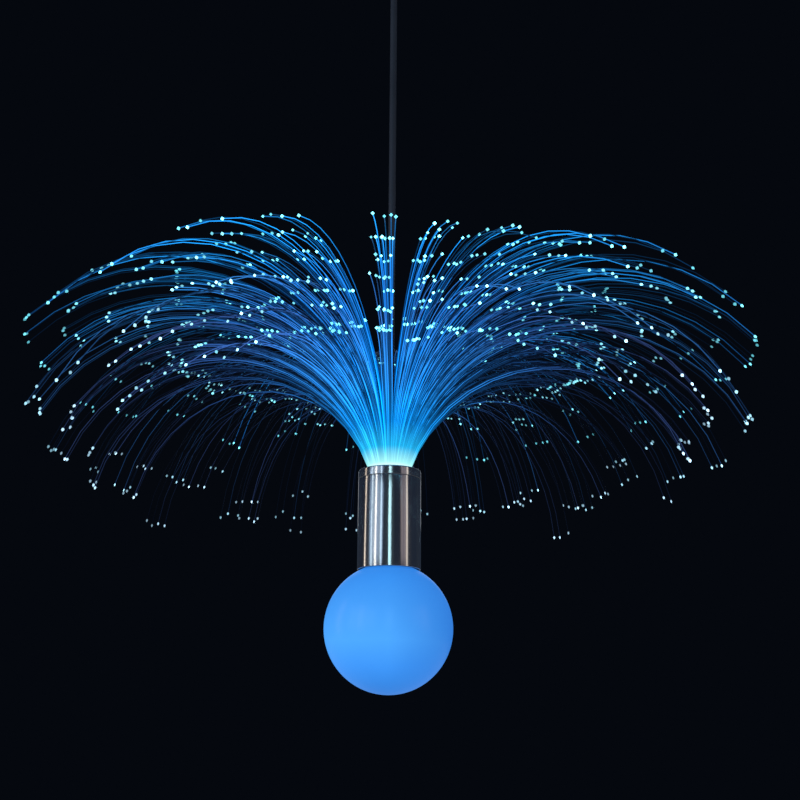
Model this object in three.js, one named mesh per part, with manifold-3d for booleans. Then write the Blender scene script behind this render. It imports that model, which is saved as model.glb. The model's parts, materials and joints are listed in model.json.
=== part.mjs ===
// A fibre-optic pendant light: a steel cylinder on a cord, a fountain of light-guide fibres, a milky globe.
// Millimetres, +Z up. The origin is where the ceiling plate's top face meets the lamp's axis.
import * as THREE from 'three';
import { mergeVertices } from 'three/addons/utils/BufferGeometryUtils.js';
import Module from 'manifold-3d';

const wasm = await Module();
wasm.setup();

// Sizes that the whole lamp shares
const dropLength = 770; // ceiling to the globe's centre
const seatGap = 0.3; // between pieces that seat on each other
const runningGap = 0.3; // between pieces that slide or turn on each other
const cutOverrun = 2; // how far a cut runs past what it cuts
const roundSides = 28;
const smallSides = 12;
const wireSides = 7;
const hexSides = 6;

// Globe and its thread
const globeRadius = 60;
const globeWall = 2.2;
const globeNeckRadius = 22;
const globeNeckLength = 8;
const globeTuck = 6; // how far the round of the globe reaches into the housing
const globeRows = 11;
const collarWall = 3.2;
const collarHeight = 9;

// Housing
const housingRadius = 30;
const housingWall = 1.2;
const housingHeight = 95; // with its cap
const housingEdge = 0.5;
const capHeight = 8.5;
const capEdge = 1.4;
const capEdgeSteps = 3;
const capSpigotDepth = 4;
const capSpigotWall = 1.6;

// Fibres
const bundleCount = 4;
const bundleTurnAngle = -11.5; // degrees, where the first bundle begins
const strandCount = 76; // in each bundle
const sheetCount = 14; // sheets of strands that leave the mouth alike
const bundleRadius = 19.9;
const bundleDepth = 10;
const bundleRootDepth = 2; // how far a strand runs down into its bundle's face
const strandRadius = 0.62;
const strandSides = 3;
const strandStep = 82; // longest straight piece of a strand
const innerRing = 8.8; // radius at which the innermost strands stand
const outerRing = 19.1;
const bundleSideMargin = 0.95;
const innerBend = 190; // radius of the arc that a strand hangs in
const outerBend = 138;
const innerLeanAngle = 3; // degrees from upright where a strand leaves the mouth
const outerLeanAngle = 20;
const innerShortest = 150;
const innerLongest = 460;
const outerShortest = 190;
const outerLongest = 400;
const tierCount = 7; // lengths that the strands are cut to
const tierSkipCount = 3;
const frontCutShare = 0.34; // how much shorter the longest ones are on the -y side
const spreadPowerShare = 2;
const tuftCount = 7; // in each bundle
const tuftPullShare = 0.5;
const goldenShare = (Math.sqrt(5) - 1) / 2;

// Ferrule that holds the fibres
const ferruleWall = 1.2;
const ferruleRise = 0.9; // above the cap's face
const ferruleLip = 1.6;

// Stem and gland at the fibre head
const stemRadius = 5;
const stemBore = 3.2;
const stemRise = 0.9; // bundle's face to the gland nut
const stemInNut = 6;
const glandNutRadius = 6.9;
const glandNutHeight = 9;
const glandSlopeShare = 4; // height of the nut's shoulder against how far it draws in
const reliefBaseRadius = 6.2;
const reliefTipRadius = 4.5;
const reliefLength = 32;
const reliefGrooves = 4;
const reliefGrooveDepth = 0.7;
const stemNutRadius = 8.4;
const stemNutHeight = 5;

// Heat sink and the boards inside
const sinkDrop = 27; // cap's face down to the heat sink's top
const sinkThickness = 6;
const sinkRimHeight = 5;
const sinkRimWall = 2.4;
const ledBoardThickness = 1.6;
const ledBoardInner = 6.5;
const ledCount = 6;
const ledSize = 3.4;
const ledHeight = 1.8;
const ledRing = 14;
const pillarCount = 3;
const pillarRing = 22.2;
const pillarRadius = 2.9;
const upperPillarLength = 11;
const pillarStudRadius = 1.5;
const pillarStudLength = 4;
const driverBoardRadius = 27;
const driverBoardThickness = 1.6;
const transformerLength = 20;
const transformerWidth = 17;
const transformerHeight = 15;
const transformerCore = 5;
const capacitorRadius = 5;
const capacitorHeight = 13;

// Lower plate, its socket and the globe's own light
const plateThickness = 2.5;
const plateScrewHead = 2.7;
const plateScrewHeadHeight = 1.4;
const globeBoardRadius = 15;
const globeLedRadius = 5.5;
const globeLedHeight = 3.2;
const globeLedSteps = 3;
const sealWall = 4.6;

// Cord
const cordRadius = 3.5;
const cordSides = 8;
const cordStep = 20; // between two rings of its tube
const gripInsertion = 9; // length of cord held in the grip

// Ceiling fittings
const ceilingPlateRadius = 30;
const ceilingPlateThickness = 2.5;
const ceilingPlateEdge = 1.2;
const ceilingBossRadius = 6.5;
const ceilingBossDepth = 3.5;
const ceilingPlateSkin = 1.1; // metal left over the blind hole of the hook
const ceilingHoleCount = 3;
const ceilingHoleRing = 22;
const ceilingHoleRadius = 2.4;
const ceilingSinkRadius = 4.4;
const hookWire = 1.5; // wires are given by their radius
const hookRadius = 6.5;
const hookDrop = 19; // plate's top face to the middle of the hook's round
const hookSteps = 22;
const hookNutRadius = 4.4;
const hookNutHeight = 2.6;
const ringWire = 1.25;
const ringRadius = 6;
const eyeRadius = 5;
const ringSteps = 22;
const gripRadius = 6.5;
const gripHeight = 16;
const gripEdge = 1;
const gripScrewRadius = 1.5;
const terminalLength = 18;
const terminalWidth = 12;
const terminalHeight = 6;
const terminalTowerRadius = 2.6;
const terminalTowerHeight = 3.4;
const terminalOffset = 19;

// Ceiling cup
const cupRadius = 45;
const cupDepth = 58;
const cupWall = 1.2;
const cupCorner = 15;
const cupCornerSteps = 5;
const cupBushRadius = 7.5;
const cupBushNeck = 5.6;
const cupBushLength = 13;
const cupBushRise = 7;
const cupBushDrop = 3.9; // from the grip down to the top of the bush
const cupBushEdge = 1.5;
const cupNutRadius = 9.5;
const cupNutHeight = 4;
const cupScrewRadius = 1.5;

// Heights that follow from those sizes
const globeCentreZ = -dropLength;
const housingBottomZ = globeCentreZ + globeRadius - globeTuck;
const mouthZ = housingBottomZ + housingHeight;
const sinkTopZ = mouthZ - sinkDrop;
const fibreFaceZ = mouthZ + ferruleRise;
const glandZ = fibreFaceZ + stemRise;
const reliefZ = glandZ + glandNutHeight + seatGap;
const reliefTopZ = reliefZ + reliefLength;
const hookCentreZ = -hookDrop;
const hookLowZ = hookCentreZ - hookRadius;
const ringTopZ = hookLowZ + hookWire + ringWire + runningGap;
const ringCentreZ = ringTopZ - ringRadius;
const ringLowZ = ringCentreZ - ringRadius;
const eyeTopZ = ringLowZ + 2 * ringWire + runningGap;
const eyeCentreZ = eyeTopZ - eyeRadius;
const gripTopZ = eyeCentreZ - eyeRadius + ringWire;
const gripBottomZ = gripTopZ - gripHeight;
const cordTopZ = gripBottomZ + gripInsertion;
const cordBottomZ = reliefTopZ + seatGap;
const cupFloorZ = gripBottomZ - cupBushDrop - cupBushRise + seatGap;
const cupRimZ = cupFloorZ + cupDepth;
const housingBore = housingRadius - housingWall;
const boreFit = housingBore - 2 * seatGap;

// Finishes
const brushedSteel = { color: 0xb9bcc2, roughness: 0.34, metalness: 1 };
const plainSteel = { color: 0x9a9da3, roughness: 0.4, metalness: 1 };
const brass = { color: 0xb08d4a, roughness: 0.35, metalness: 1 };
const castAluminium = { color: 0xa9adb2, roughness: 0.55, metalness: 0.9 };
const darkRubber = { color: 0x17181c, roughness: 0.7, metalness: 0 };
const cordJacket = { color: 0x23262e, roughness: 0.6, metalness: 0 };
const litFibre = { color: 0x2f9cf0, roughness: 0.25, metalness: 0 };
const milkGlobe = { color: 0x4ba0ff, roughness: 0.3, metalness: 0 };
const boardLacquer = { color: 0xe8ebe6, roughness: 0.5, metalness: 0 };
const greenBoard = { color: 0x1d5a38, roughness: 0.55, metalness: 0 };
const ledLens = { color: 0xf4f1c8, roughness: 0.2, metalness: 0 };
const palePlastic = { color: 0xe6e4dc, roughness: 0.5, metalness: 0 };
const blackPlastic = { color: 0x1c1d20, roughness: 0.5, metalness: 0 };
const windingTape = { color: 0xd9b33a, roughness: 0.6, metalness: 0 };

// Solids

function signedVolume(geometry) {
  const at = geometry.attributes.position;
  const corner = [new THREE.Vector3(), new THREE.Vector3(), new THREE.Vector3()];
  let sum = 0;
  for (let i = 0; i < geometry.index.count; i += 3) {
    corner.forEach((point, k) => point.fromBufferAttribute(at, geometry.index.getX(i + k)));
    sum += corner[0].dot(corner[1].clone().cross(corner[2]));
  }
  return sum;
}

// One closed surface: shared corners merged, collapsed faces at the poles dropped, faces pointing out
function closed(geometry) {
  const bare = geometry.clone();
  bare.deleteAttribute('normal');
  bare.deleteAttribute('uv');
  const merged = mergeVertices(bare);
  const faces = [];
  for (let i = 0; i < merged.index.count; i += 3) {
    const face = [0, 1, 2].map((k) => merged.index.getX(i + k));
    if (new Set(face).size === face.length) faces.push(face);
  }
  merged.setIndex(faces.flat());
  if (signedVolume(merged) < 0) merged.setIndex(faces.map(([a, b, c]) => [a, c, b]).flat());
  return merged;
}

function toSolid(geometry) {
  const surface = closed(geometry);
  const vertProperties = new Float32Array(surface.attributes.position.array);
  const triVerts = new Uint32Array(surface.index.array);
  return new wasm.Manifold(new wasm.Mesh({ numProp: 3, vertProperties, triVerts }));
}

function toGeometry(solid) {
  const { vertProperties, triVerts } = solid.getMesh();
  const geometry = new THREE.BufferGeometry();
  geometry.setAttribute('position', new THREE.BufferAttribute(new Float32Array(vertProperties), 3));
  geometry.setIndex(Array.from(triVerts));
  return geometry;
}

function joined(geometries) {
  return toGeometry(wasm.Manifold.union(geometries.map(toSolid)));
}

function cut(geometry, cutters) {
  return toGeometry(toSolid(geometry).subtract(wasm.Manifold.union(cutters.map(toSolid))));
}

// A profile of [radius, height] points, from axis to axis or closed on itself, turned about Z
function turned(profile, sides) {
  const points = profile.map(([radius, height]) => new THREE.Vector2(radius, height));
  return closed(new THREE.LatheGeometry(points, sides).rotateX(Math.PI / 2));
}

function ringOf(outer, inner, low, high, sides) {
  return turned([[inner, low], [outer, low], [outer, high], [inner, high], [inner, low]], sides);
}

function rod(radius, low, high, sides) {
  return turned([[0, low], [radius, low], [radius, high], [0, high]], sides);
}

function hexNut(radius, bore, height) {
  return cut(rod(radius, 0, height, hexSides), [rod(bore, -cutOverrun, height + cutOverrun, roundSides / 2)]);
}

function boxOf(length, width, low, high) {
  return new THREE.BoxGeometry(length, width, high - low).translate(0, 0, (low + high) / 2);
}

// A round rod laid along +X
function crossRod(radius, from, to, height, sides) {
  return rod(radius, from, to, sides).rotateY(Math.PI / 2).translate(0, 0, height);
}

function atAngle(geometry, radius, angle) {
  return geometry.clone().translate(radius, 0, 0).rotateZ(angle);
}

function around(count, make) {
  return Array.from({ length: count }, (_, i) => make((i / count) * Math.PI * 2, i));
}

function wireRing(radius, wire) {
  return new THREE.TorusGeometry(radius, wire, wireSides, ringSteps);
}

function circleShape(radius, sides) {
  const middle = new THREE.Vector2();
  return new THREE.Shape(around(sides, (angle) => new THREE.Vector2(radius, 0).rotateAround(middle, angle)));
}

function tubeAlong(curve, radius, sides, steps) {
  const settings = { steps, bevelEnabled: false, extrudePath: curve };
  return closed(new THREE.ExtrudeGeometry(circleShape(radius, sides), settings));
}

// Quarter round between two points of a profile, bulging away from its centre
function cornerArc(centreRadius, centreHeight, radius, from, to, steps) {
  return Array.from({ length: steps + 1 }, (_, i) => {
    const angle = from + ((to - from) * i) / steps;
    return [centreRadius + radius * Math.cos(angle), centreHeight + radius * Math.sin(angle)];
  });
}

// Ceiling plate, hook and ring

function makeHookPlate() {
  const body = turned([
    [0, -ceilingPlateThickness - ceilingBossDepth],
    [ceilingBossRadius - ceilingPlateEdge, -ceilingPlateThickness - ceilingBossDepth],
    [ceilingBossRadius, -ceilingPlateThickness],
    [ceilingPlateRadius - ceilingPlateEdge, -ceilingPlateThickness],
    [ceilingPlateRadius, -ceilingPlateThickness + ceilingPlateEdge],
    [ceilingPlateRadius, 0],
    [0, 0],
  ], roundSides);
  const bossLow = -ceilingPlateThickness - ceilingBossDepth;
  const hookHole = rod(hookWire + seatGap, bossLow - cutOverrun, -ceilingPlateSkin, smallSides);
  const sinkDepth = ceilingSinkRadius - ceilingHoleRadius;
  const screwHole = turned([
    [0, -ceilingPlateThickness - cutOverrun],
    [ceilingSinkRadius, -ceilingPlateThickness - cutOverrun],
    [ceilingSinkRadius, -ceilingPlateThickness],
    [ceilingHoleRadius, -ceilingPlateThickness + sinkDepth],
    [ceilingHoleRadius, cutOverrun],
    [0, cutOverrun],
  ], smallSides);
  const firstHole = Math.PI / 2;
  const screwHoles = around(ceilingHoleCount, (angle) => (
    atAngle(screwHole, ceilingHoleRing, angle + firstHole)
  ));
  return cut(body, [hookHole, ...screwHoles]);
}

// Open hook: straight shank on the axis, then a round that leaves its mouth at the upper left
function makeHook() {
  const shankTop = hookDrop - ceilingPlateSkin - seatGap;
  const shankLow = hookDrop - ceilingPlateThickness - ceilingBossDepth - seatGap - hookNutHeight - seatGap;
  const roundShares = [
    [0.62, 0.86], [0.95, 0.31], [0.97, -0.26], [0.71, -0.71], [0, -1], [-0.71, -0.71], [-1, 0],
  ];
  const route = [
    new THREE.Vector3(0, 0, shankTop),
    new THREE.Vector3(0, 0, shankLow),
    new THREE.Vector3(0, 0, shankLow - hookWire),
    ...roundShares.map(([x, z]) => new THREE.Vector3(x, 0, z).multiplyScalar(hookRadius)),
  ];
  return tubeAlong(new THREE.CatmullRomCurve3(route, false, 'centripetal'), hookWire, wireSides, hookSteps);
}

function makeHookNut() {
  return hexNut(hookNutRadius, hookWire + seatGap, hookNutHeight);
}

function makeTerminalBlock() {
  const towerOffset = terminalLength / 4;
  const towerLow = -terminalHeight - terminalTowerHeight;
  const tower = rod(terminalTowerRadius, towerLow, -terminalHeight / 2, smallSides);
  const body = boxOf(terminalWidth, terminalLength, -terminalHeight, 0);
  const towers = [-towerOffset, towerOffset].map((y) => tower.clone().translate(0, y, 0));
  return joined([body, ...towers]);
}

// Grip: an eye over a barrel that the cord is clamped in by two screws
function makeGrip() {
  const gripBore = cordRadius + seatGap;
  const barrel = turned([
    [gripBore, 0],
    [gripRadius - gripEdge, 0],
    [gripRadius, gripEdge],
    [gripRadius, gripHeight - 2 * gripEdge],
    [gripRadius - 2 * gripEdge, gripHeight],
    [0, gripHeight],
    [0, gripInsertion + seatGap],
    [gripBore, gripInsertion + seatGap],
    [gripBore, 0],
  ], roundSides / 2);
  const eye = wireRing(eyeRadius, ringWire).rotateX(Math.PI / 2).translate(0, 0, eyeCentreZ - gripBottomZ);
  const hole = crossRod(gripScrewRadius + seatGap, cordRadius, gripRadius + cutOverrun, 0, smallSides);
  const holes = gripScrewHeights().map((height) => hole.clone().translate(0, 0, height));
  return cut(joined([barrel, eye]), holes);
}

function gripScrewHeights() {
  return [gripInsertion / 4, (gripInsertion * 3) / 4];
}

function makeSetScrew(radius, outer) {
  return crossRod(radius, cordRadius + seatGap, outer, 0, smallSides / 2);
}

// Cord and what holds it at the lamp

function makeCord() {
  const length = cordTopZ - cordBottomZ;
  const line = new THREE.LineCurve3(new THREE.Vector3(0, 0, 0), new THREE.Vector3(0, 0, length));
  return tubeAlong(line, cordRadius, cordSides, Math.round(length / cordStep));
}

// Strain relief: tapers from its foot to its tip, with flexing grooves between plain ends
function makeStrainRelief() {
  const pitch = reliefLength / (reliefGrooves + 1);
  const radiusAt = (height) => THREE.MathUtils.lerp(reliefBaseRadius, reliefTipRadius, height / reliefLength);
  const profile = [[0, 0], [reliefBaseRadius, 0]];
  for (let i = 0; i < reliefGrooves; i += 1) {
    const low = pitch / 2 + i * pitch;
    const high = low + pitch / 2;
    profile.push([radiusAt(low), low], [radiusAt(low) - reliefGrooveDepth, low]);
    profile.push([radiusAt(high) - reliefGrooveDepth, high], [radiusAt(high), high]);
  }
  profile.push([reliefTipRadius, reliefLength], [0, reliefLength]);
  return turned(profile, smallSides);
}

function makeGlandNut() {
  const shoulder = glandNutHeight - (glandNutRadius - reliefBaseRadius) * glandSlopeShare;
  const body = turned([
    [0, 0],
    [glandNutRadius, 0],
    [glandNutRadius, shoulder],
    [reliefBaseRadius, glandNutHeight],
    [0, glandNutHeight],
  ], hexSides);
  return cut(body, [rod(stemRadius + seatGap, -cutOverrun, stemInNut + seatGap, roundSides / 2)]);
}

function makeStemTube() {
  const low = sinkTopZ - sinkThickness - seatGap - stemNutHeight - seatGap;
  return ringOf(stemRadius, stemBore, low, glandZ + stemInNut, roundSides / 2);
}

function makeStemNut() {
  return hexNut(stemNutRadius, stemRadius + seatGap, stemNutHeight);
}

// Fibres

// A strand's length: its sheet is cut to one of the tiers, and shorter on the -y side
function strandLength(sheet, reach, bearing) {
  const tier = ((sheet * tierSkipCount) % tierCount) / (tierCount - 1);
  const shortest = THREE.MathUtils.lerp(innerShortest, outerShortest, reach);
  const longest = THREE.MathUtils.lerp(innerLongest, outerLongest, reach);
  const front = Math.max(-Math.sin(bearing), 0) ** 2;
  return THREE.MathUtils.lerp(shortest, longest, tier) * (1 - frontCutShare * front * tier);
}

// One strand's place and form, from where it stands in its bundle
function strandPlan(i, firstTurn) {
  const spread = (i + 0.5) / strandCount;
  const sheet = Math.floor(spread * sheetCount);
  const reach = ((sheet + 0.5) / sheetCount) ** spreadPowerShare;
  const standing = Math.sqrt(innerRing ** 2 + (outerRing ** 2 - innerRing ** 2) * spread);
  const margin = Math.asin(bundleSideMargin / standing);
  const sector = (Math.PI * 2) / bundleCount;
  const turn = margin + (sector - 2 * margin) * ((i * goldenShare) % 1);
  const tuft = (Math.floor((turn / sector) * tuftCount) + 0.5) * (sector / tuftCount);
  return {
    standing,
    turn,
    tuftTurn: turn + (tuft - turn) * tuftPullShare,
    lean: THREE.MathUtils.degToRad(THREE.MathUtils.lerp(innerLeanAngle, outerLeanAngle, reach)),
    bend: THREE.MathUtils.lerp(innerBend, outerBend, reach),
    length: strandLength(sheet, reach, firstTurn + turn),
  };
}

// Point of a strand at a run from the face: an arc in an upright plane that turns slightly to its tuft
function strandPoint(plan, run) {
  const bent = run / plan.bend;
  const radius = plan.standing + plan.bend * (Math.cos(plan.lean) - Math.cos(plan.lean + bent));
  const height = plan.bend * (Math.sin(plan.lean + bent) - Math.sin(plan.lean));
  const pulled = Math.min(run / innerShortest, 1);
  const turn = plan.turn + (plan.tuftTurn - plan.turn) * pulled * pulled * (3 - 2 * pulled);
  return new THREE.Vector3(radius * Math.cos(turn), radius * Math.sin(turn), height);
}

// A strand's line: straight pieces along its arc, the first one carried on down into the bundle's face
function strandLine(plan) {
  const steps = Math.max(2, Math.round(plan.length / strandStep));
  const line = Array.from({ length: steps + 1 }, (_, i) => strandPoint(plan, (plan.length * i) / steps));
  const first = line[1].clone().sub(line[0]);
  line[0].addScaledVector(first, -bundleRootDepth / first.z);
  return line;
}

function makeStrand(plan) {
  const line = strandLine(plan);
  const positions = [];
  const faces = [];
  line.forEach((here, row) => {
    const before = line[Math.max(row, 1) - 1];
    const after = line[Math.min(Math.max(row, 1) + 1, line.length - 1)];
    const along = after.clone().sub(before).normalize();
    const side = new THREE.Vector3(-Math.sin(plan.turn), Math.cos(plan.turn), 0);
    const out = new THREE.Vector3().crossVectors(side, along).normalize();
    side.crossVectors(along, out);
    around(strandSides, (angle) => {
      const corner = here.clone();
      corner.addScaledVector(out, strandRadius * Math.cos(angle));
      corner.addScaledVector(side, strandRadius * Math.sin(angle));
      positions.push(...corner.toArray());
    });
    if (row === 0) return;
    for (let k = 0; k < strandSides; k += 1) {
      const a = (row - 1) * strandSides + k;
      const b = (row - 1) * strandSides + ((k + 1) % strandSides);
      faces.push(a, b, b + strandSides, a, b + strandSides, a + strandSides);
    }
  });
  const last = (line.length - 1) * strandSides;
  faces.push(0, 2, 1, last, last + 1, last + 2);
  const geometry = new THREE.BufferGeometry();
  geometry.setAttribute('position', new THREE.Float32BufferAttribute(positions, 3));
  geometry.setIndex(faces);
  return geometry;
}

// A quarter of the potted bundle's disc, with its strands standing in it
function makeFibreBundle(firstTurn) {
  const sector = (Math.PI * 2) / bundleCount;
  const coreRadius = stemRadius + seatGap;
  const sideGap = seatGap / 2;
  const outerAngle = Math.asin(sideGap / bundleRadius);
  const coreAngle = Math.asin(sideGap / coreRadius);
  const outline = new THREE.Shape();
  outline.absarc(0, 0, bundleRadius, outerAngle, sector - outerAngle, false);
  outline.absarc(0, 0, coreRadius, sector - coreAngle, coreAngle, true);
  const settings = { depth: bundleDepth, bevelEnabled: false, curveSegments: roundSides / bundleCount };
  const slice = new THREE.ExtrudeGeometry(outline, settings).translate(0, 0, -bundleDepth);
  const strands = Array.from({ length: strandCount }, (_, i) => makeStrand(strandPlan(i, firstTurn)));
  return joined([slice, ...strands]);
}

function makeFerrule() {
  const bore = bundleRadius + seatGap;
  const outer = bore + ferruleWall;
  const seat = fibreFaceZ - bundleDepth - seatGap;
  return turned([
    [bore - ferruleLip, seat - ferruleLip],
    [bore, seat - 2 * ferruleLip],
    [bore, sinkTopZ + seatGap],
    [outer, sinkTopZ + seatGap],
    [outer, mouthZ + ferruleRise - ferruleWall / 2],
    [outer - ferruleWall / 2, mouthZ + ferruleRise],
    [bore, mouthZ + ferruleRise],
    [bore, seat],
    [bore - ferruleLip, seat],
    [bore - ferruleLip, seat - ferruleLip],
  ], roundSides);
}

// Housing

function makeTopCap() {
  const bore = bundleRadius + seatGap + ferruleWall + seatGap;
  const low = mouthZ - capHeight;
  return turned([
    [boreFit, low - capSpigotDepth],
    [boreFit, low],
    [housingRadius, low],
    ...cornerArc(housingRadius - capEdge, mouthZ - capEdge, capEdge, 0, Math.PI / 2, capEdgeSteps),
    [bore, mouthZ],
    [bore, low],
    [boreFit - capSpigotWall, low - capSpigotWall],
    [boreFit - capSpigotWall, low - capSpigotDepth],
    [boreFit, low - capSpigotDepth],
  ], roundSides);
}

function makeHousingTube() {
  const high = mouthZ - capHeight - seatGap;
  return turned([
    [housingBore, housingBottomZ],
    [housingRadius - housingEdge, housingBottomZ],
    [housingRadius, housingBottomZ + housingEdge],
    [housingRadius, high],
    [housingBore, high],
    [housingBore, housingBottomZ],
  ], roundSides);
}

// Heat sink: a plate across the tube with a rim below that bears on the tube's wall
function makeHeatSink() {
  const low = sinkTopZ - sinkThickness;
  return turned([
    [stemRadius + seatGap, low],
    [boreFit - sinkRimWall, low],
    [boreFit - sinkRimWall, low - sinkRimHeight],
    [boreFit, low - sinkRimHeight],
    [boreFit, sinkTopZ],
    [stemRadius + seatGap, sinkTopZ],
    [stemRadius + seatGap, low],
  ], roundSides);
}

function makeLedBoard() {
  return ringOf(bundleRadius - seatGap, ledBoardInner, 0, ledBoardThickness, roundSides);
}

function makeLed() {
  return boxOf(ledSize, ledSize, 0, ledHeight);
}

function makeUpperPillar() {
  const bore = pillarStudRadius + seatGap;
  return turned([
    [bore, 0],
    [pillarRadius, 0],
    [pillarRadius, upperPillarLength],
    [0, upperPillarLength],
    [0, pillarStudLength + seatGap],
    [bore, pillarStudLength + seatGap],
    [bore, 0],
  ], hexSides);
}

function makeLowerPillar(length) {
  const studTop = length + seatGap + driverBoardThickness + pillarStudLength;
  return turned([
    [0, 0],
    [pillarRadius, 0],
    [pillarRadius, length],
    [pillarStudRadius, length],
    [pillarStudRadius, studTop],
    [0, studTop],
  ], hexSides);
}

function pillarHoles(low, high, radius) {
  const hole = rod(radius, low, high, smallSides / 2);
  return around(pillarCount, (angle) => atAngle(hole, pillarRing, angle));
}

function makeDriverBoard() {
  const board = rod(driverBoardRadius, 0, driverBoardThickness, roundSides);
  const holes = pillarHoles(-cutOverrun, driverBoardThickness + cutOverrun, pillarStudRadius + seatGap);
  const wireHole = rod(stemBore, -cutOverrun, driverBoardThickness + cutOverrun, smallSides);
  return cut(board, [...holes, wireHole]);
}

// Transformer: a wound bobbin with the two halves of its core standing proud of it
function makeTransformer() {
  const bobbin = boxOf(transformerLength - transformerCore, transformerWidth, -transformerHeight, 0);
  const inset = transformerCore / 2;
  const core = boxOf(transformerLength, transformerWidth / 2, -transformerHeight + inset, -inset);
  return joined([bobbin, core]);
}

function makeCapacitor() {
  const edge = capacitorRadius / 6;
  return turned([
    [0, -capacitorHeight],
    [capacitorRadius - edge, -capacitorHeight],
    [capacitorRadius, -capacitorHeight + edge],
    [capacitorRadius, -2 * edge],
    [capacitorRadius - edge, -edge],
    [capacitorRadius - edge, 0],
    [0, 0],
  ], smallSides);
}

// Lower plate: closes the tube, carries the globe's light and has the skirt that the collar screws into
function makeLowerPlate() {
  const skirtBore = globeNeckRadius + seatGap + collarWall + runningGap;
  const skirtLow = sealTop() + seatGap;
  const plateLow = plateUnderside();
  const plateHigh = plateLow + plateThickness;
  const body = turned([
    [0, plateLow],
    [skirtBore, plateLow],
    [skirtBore, skirtLow],
    [boreFit, skirtLow],
    [boreFit, plateHigh],
    [0, plateHigh],
  ], roundSides);
  const holes = pillarHoles(plateLow - cutOverrun, plateHigh + cutOverrun, pillarStudRadius + seatGap);
  return cut(body, holes);
}

function makePlateScrew(shank) {
  return turned([
    [0, -plateScrewHeadHeight],
    [pillarStudRadius, -plateScrewHeadHeight],
    [plateScrewHead, -plateScrewHeadHeight / 3],
    [plateScrewHead, 0],
    [pillarStudRadius, 0],
    [pillarStudRadius, shank],
    [0, shank],
  ], smallSides / 2);
}

function makeGlobeBoard() {
  return rod(globeBoardRadius, -ledBoardThickness, 0, roundSides);
}

// Dome of the globe's lamp, a quarter of an ellipse turned about the axis
function makeGlobeLed() {
  const dome = cornerArc(0, 0, 1, -Math.PI / 2, 0, globeLedSteps);
  const profile = dome.map(([radius, height]) => [radius * globeLedRadius, height * globeLedHeight]);
  profile[0][0] = 0;
  return turned([...profile, [0, 0]], smallSides);
}

// Globe, measured from its centre

function globeHeightAt(radius) {
  return Math.sqrt(globeRadius ** 2 - radius ** 2);
}

function neckTop() {
  return globeHeightAt(globeNeckRadius) + globeNeckLength;
}

function sealTop() {
  return globeHeightAt(globeNeckRadius) + 2 * seatGap;
}

function collarTop() {
  return sealTop() + seatGap + collarHeight;
}

// Height of the lower plate's underside, with room below it for the heads of its screws
function plateUnderside() {
  return collarTop() + plateScrewHeadHeight + 3 * seatGap;
}

function makeGlobe() {
  const neckBore = globeNeckRadius - globeWall;
  const innerRadius = globeRadius - globeWall;
  const outerTop = Math.acos(globeNeckRadius / globeRadius);
  const innerTop = Math.acos(neckBore / innerRadius);
  const south = -Math.PI / 2;
  const profile = [
    ...cornerArc(0, 0, globeRadius, south, outerTop, globeRows),
    [globeNeckRadius, neckTop()],
    [neckBore, neckTop()],
    ...cornerArc(0, 0, innerRadius, innerTop, south, globeRows),
  ];
  profile[0][0] = 0;
  profile[profile.length - 1][0] = 0;
  return turned(profile, roundSides);
}

function makeGlobeCollar() {
  const bore = globeNeckRadius + seatGap;
  const outer = bore + collarWall;
  const low = sealTop() + seatGap;
  const high = collarTop();
  return turned([
    [bore, low],
    [outer - collarWall / 4, low],
    [outer, low + collarWall / 4],
    [outer, high],
    [globeNeckRadius - globeWall, high],
    [globeNeckRadius - globeWall, neckTop() + seatGap],
    [bore, neckTop() + seatGap],
    [bore, low],
  ], roundSides);
}

// Seal: fills the notch between the round of the globe and the end of the tube
function makeGlobeSeal() {
  const inner = globeNeckRadius + 2 * seatGap;
  const outer = inner + sealWall;
  const lift = 2 * seatGap;
  return turned([
    [inner, globeHeightAt(inner) + lift],
    [outer, globeHeightAt(outer) + lift],
    [outer, sealTop()],
    [inner, sealTop()],
    [inner, globeHeightAt(inner) + lift],
  ], roundSides);
}

// Ceiling cup, measured from its rim

function makeCeilingCup() {
  const hole = cupBushNeck + seatGap;
  const down = -Math.PI / 2;
  const outerCentre = [cupRadius - cupCorner, -cupDepth + cupCorner];
  return turned([
    [cupRadius - cupWall, 0],
    ...cornerArc(...outerCentre, cupCorner - cupWall, 0, down, cupCornerSteps),
    [hole, -cupDepth + cupWall],
    [hole, -cupDepth],
    ...cornerArc(...outerCentre, cupCorner, down, 0, cupCornerSteps),
    [cupRadius, 0],
    [cupRadius - cupWall, 0],
  ], roundSides);
}

function makeCupBush() {
  const bore = cordRadius + runningGap;
  const body = turned([
    [bore, -cupBushLength],
    [cupBushRadius - cupBushEdge, -cupBushLength],
    [cupBushRadius, -cupBushLength + cupBushEdge],
    [cupBushRadius, 0],
    [cupBushNeck, 0],
    [cupBushNeck, cupBushRise],
    [bore, cupBushRise],
    [bore, -cupBushLength],
  ], roundSides / 2);
  const hole = crossRod(
    cupScrewRadius + seatGap, cordRadius, cupBushRadius + cutOverrun, -cupBushLength / 2, smallSides);
  return cut(body, [hole]);
}

function makeCupNut() {
  return hexNut(cupNutRadius, cupBushNeck + seatGap, cupNutHeight);
}

// Assembly

const lamp = new THREE.Group();

function finishOf(finish) {
  return new THREE.MeshStandardMaterial(finish);
}

function add(group, name, geometry, finish, height = 0, turn = 0) {
  const mesh = new THREE.Mesh(closed(geometry), finishOf(finish));
  mesh.name = name;
  mesh.position.z = height;
  mesh.rotation.z = turn;
  group.add(mesh);
  return mesh;
}

function subassembly(height) {
  const group = new THREE.Group();
  group.position.z = height;
  lamp.add(group);
  return group;
}

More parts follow.
